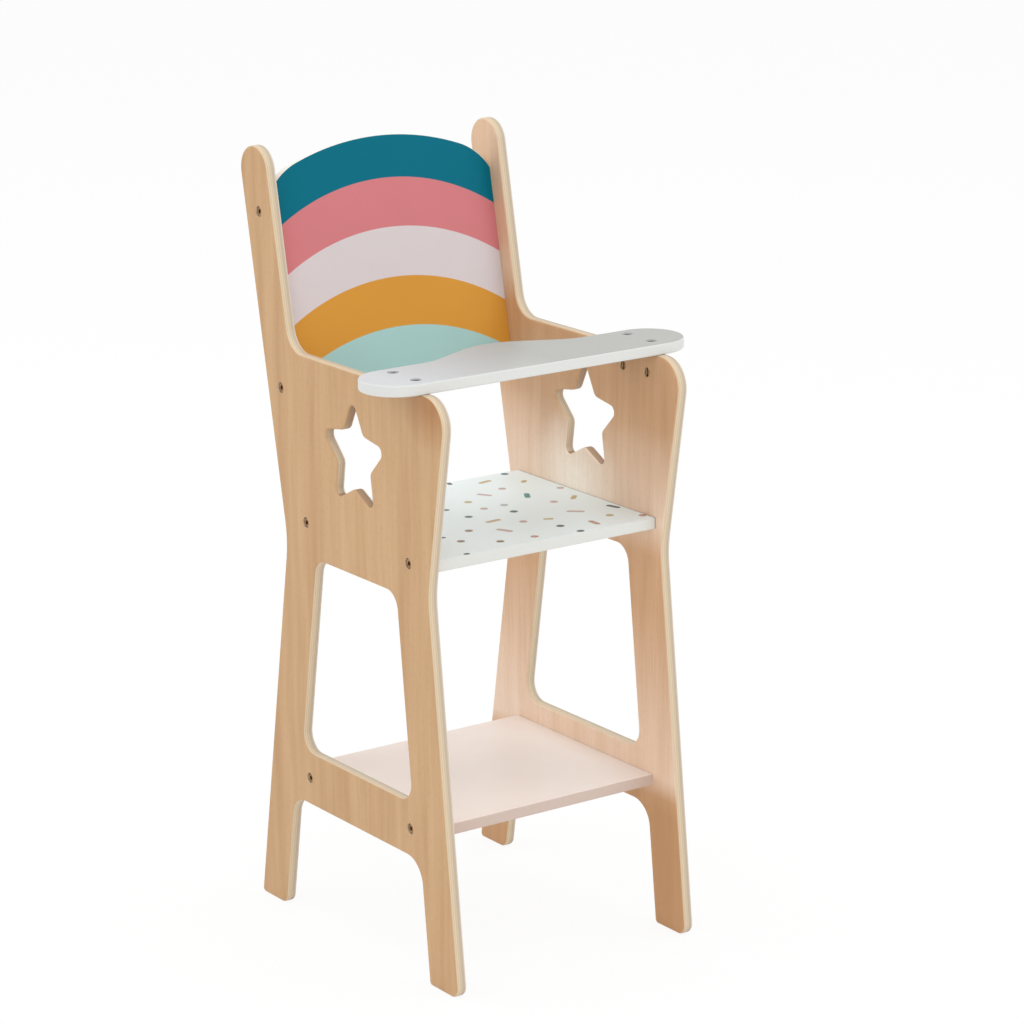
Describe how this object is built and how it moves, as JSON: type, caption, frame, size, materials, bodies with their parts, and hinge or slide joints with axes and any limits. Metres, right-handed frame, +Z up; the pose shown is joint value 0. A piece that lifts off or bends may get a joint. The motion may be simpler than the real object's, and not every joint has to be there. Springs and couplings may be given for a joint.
{
  "type": "doll high chair",
  "caption": "Flat-pack plywood high chair for a doll: star cut-outs in the arms, rainbow-painted backrest, speckled white seat, white tray over the arms, pale pink shelf.",
  "frame": {"origin": "on the floor, midway between the two side panels and midway between the foremost and the rearmost point", "axes": "+Z is up, the chair faces -Y, +X is to the right of someone who looks at its front"},
  "size_m": [0.26, 0.2586, 0.56],
  "materials": {
    "plywood": "clear-lacquered beech plywood with pale cut edges",
    "rainbow_paint": "satin paint in five arched bands",
    "white_paint": "satin white paint, speckled on the seat",
    "pale_pink_paint": "satin pale pink paint",
    "zinc_steel": "zinc-plated steel"
  },
  "bodies": {
    "root": {"side_panel_left": "plywood", "side_panel_right": "plywood", "back_panel": "rainbow_paint", "seat_panel": "white_paint", "shelf_panel": "pale_pink_paint", "tray": "white_paint", "seat_bolt_front_left": "zinc_steel", "seat_barrel_nut_front_left": "zinc_steel", "seat_bolt_front_right": "zinc_steel", "seat_barrel_nut_front_right": "zinc_steel", "seat_bolt_rear_left": "zinc_steel", "seat_barrel_nut_rear_left": "zinc_steel", "seat_bolt_rear_right": "zinc_steel", "seat_barrel_nut_rear_right": "zinc_steel", "shelf_bolt_front_left": "zinc_steel", "shelf_barrel_nut_front_left": "zinc_steel", "shelf_bolt_front_right": "zinc_steel", "shelf_barrel_nut_front_right": "zinc_steel", "shelf_bolt_rear_left": "zinc_steel", "shelf_barrel_nut_rear_left": "zinc_steel", "shelf_bolt_rear_right": "zinc_steel", "shelf_barrel_nut_rear_right": "zinc_steel", "back_bolt_lower_left": "zinc_steel", "back_barrel_nut_lower_left": "zinc_steel", "back_bolt_lower_right": "zinc_steel", "back_barrel_nut_lower_right": "zinc_steel", "back_bolt_upper_left": "zinc_steel", "back_barrel_nut_upper_left": "zinc_steel", "back_bolt_upper_right": "zinc_steel", "back_barrel_nut_upper_right": "zinc_steel", "tray_bolt_front_left": "zinc_steel", "tray_barrel_nut_front_left": "zinc_steel", "tray_bolt_front_right": "zinc_steel", "tray_barrel_nut_front_right": "zinc_steel", "tray_bolt_rear_left": "zinc_steel", "tray_barrel_nut_rear_left": "zinc_steel", "tray_bolt_rear_right": "zinc_steel", "tray_barrel_nut_rear_right": "zinc_steel"}
  },
  "joints": []
}
